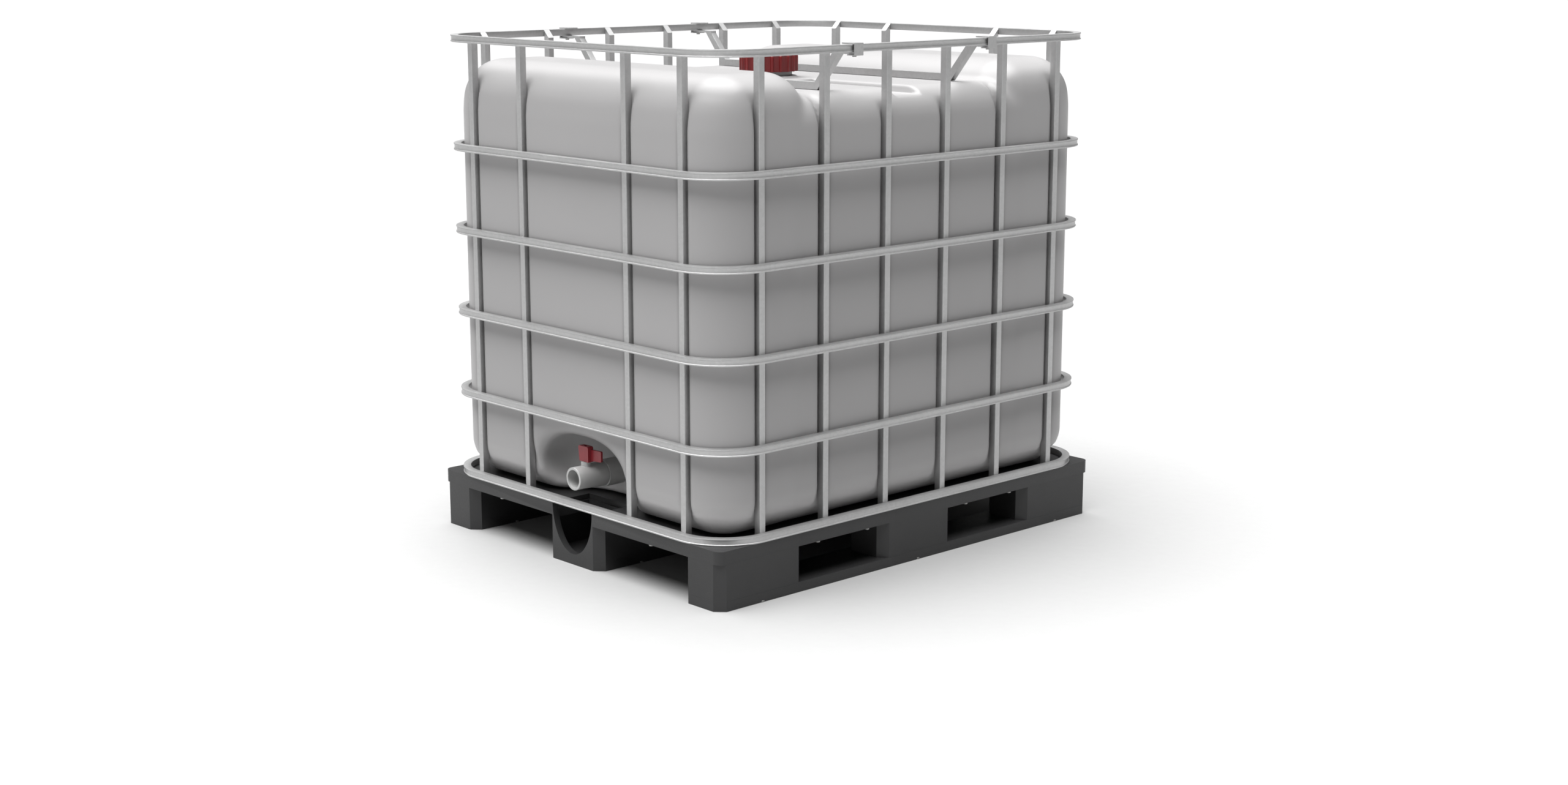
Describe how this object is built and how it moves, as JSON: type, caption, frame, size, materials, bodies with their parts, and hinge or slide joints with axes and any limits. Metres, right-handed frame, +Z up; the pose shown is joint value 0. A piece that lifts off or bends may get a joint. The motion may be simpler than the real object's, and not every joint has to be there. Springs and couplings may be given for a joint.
{
  "type": "intermediate bulk container",
  "caption": "Pallet-mounted cage of welded tubes round a blow-moulded bottle with a screw lid on top and a butterfly valve in a pocket at the bottom of one short side.",
  "frame": {"origin": "on the floor, under the middle of the container", "axes": "+Z up; the outlet valve is in the middle of the short side at -Y; the long sides face -X and +X"},
  "size_m": [1.01, 1.2, 1.16],
  "materials": {
    "pallet_plastic": "moulded, matt black",
    "galvanised_tube": "galvanised",
    "zinc_screw": "zinc plated",
    "bottle_plastic": "natural polyethylene, satin",
    "lid_plastic": "moulded, dark red",
    "handle_plastic": "moulded, dark red",
    "seal_rubber": "matt",
    "valve_plastic": "moulded, light grey",
    "inner_plastic": "moulded, white"
  },
  "bodies": {
    "container": {"pallet_deck": "pallet_plastic", "foot_front_left": "pallet_plastic", "foot_front_centre": "pallet_plastic", "foot_front_right": "pallet_plastic", "foot_middle_left": "pallet_plastic", "foot_middle_centre": "pallet_plastic", "foot_middle_right": "pallet_plastic", "foot_rear_left": "pallet_plastic", "foot_rear_centre": "pallet_plastic", "foot_rear_right": "pallet_plastic", "runner_left": "pallet_plastic", "runner_centre": "pallet_plastic", "runner_right": "pallet_plastic", "pallet_screws": "zinc_screw", "cage_screws": "zinc_screw", "rail_bottom": "galvanised_tube", "rail_second": "galvanised_tube", "rail_third": "galvanised_tube", "rail_fourth": "galvanised_tube", "rail_fifth": "galvanised_tube", "rail_top": "galvanised_tube", "upright_front_1": "galvanised_tube", "upright_front_2": "galvanised_tube", "upright_front_3": "galvanised_tube", "upright_front_4": "galvanised_tube", "upright_rear_1": "galvanised_tube", "upright_rear_2": "galvanised_tube", "upright_rear_3": "galvanised_tube", "upright_rear_4": "galvanised_tube", "upright_left_1": "galvanised_tube", "upright_left_2": "galvanised_tube", "upright_left_3": "galvanised_tube", "upright_left_4": "galvanised_tube", "upright_left_5": "galvanised_tube", "upright_left_6": "galvanised_tube", "upright_right_1": "galvanised_tube", "upright_right_2": "galvanised_tube", "upright_right_3": "galvanised_tube", "upright_right_4": "galvanised_tube", "upright_right_5": "galvanised_tube", "upright_right_6": "galvanised_tube", "cross_bar_front": "galvanised_tube", "cross_bar_rear": "galvanised_tube", "bar_clips": "galvanised_tube", "clip_screws": "zinc_screw", "bottle": "bottle_plastic", "union_nut": "valve_plastic", "outlet_gasket": "seal_rubber", "valve_body": "valve_plastic", "stem_bush": "inner_plastic", "stem_o_rings": "seal_rubber"},
    "lid_seal": {"lid_gasket": "seal_rubber"},
    "lid": {"lid": "lid_plastic"},
    "spindle": {"valve_stem": "inner_plastic", "valve_disc": "inner_plastic", "disc_seal": "seal_rubber", "valve_handle": "handle_plastic", "handle_screw": "zinc_screw"}
  },
  "joints": [
    {"name": "lid_lift", "type": "slide", "parent": "container", "child": "lid_seal", "axis": [0, 0, 1], "range_m": [0, 0.2]},
    {"name": "lid_turn", "type": "hinge", "parent": "lid_seal", "child": "lid", "pos_m": [0, 0, 1.09], "axis": [0, 0, 1], "continuous": true},
    {"name": "valve_turn", "type": "hinge", "parent": "container", "child": "spindle", "pos_m": [0, -0.555, 0.196], "axis": [0, 0, 1], "range_deg": [0, 90]}
  ]
}
